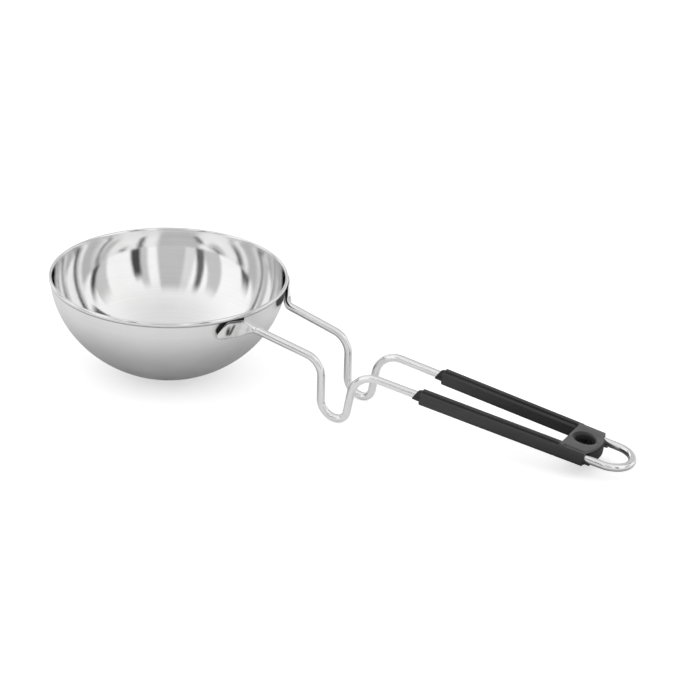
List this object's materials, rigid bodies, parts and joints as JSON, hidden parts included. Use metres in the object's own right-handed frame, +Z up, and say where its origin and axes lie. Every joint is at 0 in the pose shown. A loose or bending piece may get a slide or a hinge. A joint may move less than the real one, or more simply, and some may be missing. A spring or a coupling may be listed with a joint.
{
  "type": "candle melting pot",
  "caption": "Small round-bottomed steel bowl with a beaded rim on a long bent rod handle with a dark moulded grip and a hanging loop.",
  "frame": {"origin": "middle of the small flat on the underside of the bowl, on the surface the pot stands on", "axes": "+X from the bowl along the handle, +Z up, +Y to the left when looking along +X"},
  "size_m": [0.3146, 0.12, 0.0516],
  "materials": {
    "bowl_steel": "satin outside, polished inside",
    "rod_steel": "polished",
    "grip_body": "moulded, matt",
    "grip_cover": "moulded, matt",
    "black_steel": "blackened",
    "nut_steel": "plain zinc"
  },
  "bodies": {
    "root": {"bowl": "bowl_steel", "handle_rod": "rod_steel", "grip_body": "grip_body", "grip_cover": "grip_cover", "clamp_screw": "black_steel", "clamp_nut": "nut_steel"}
  },
  "joints": []
}
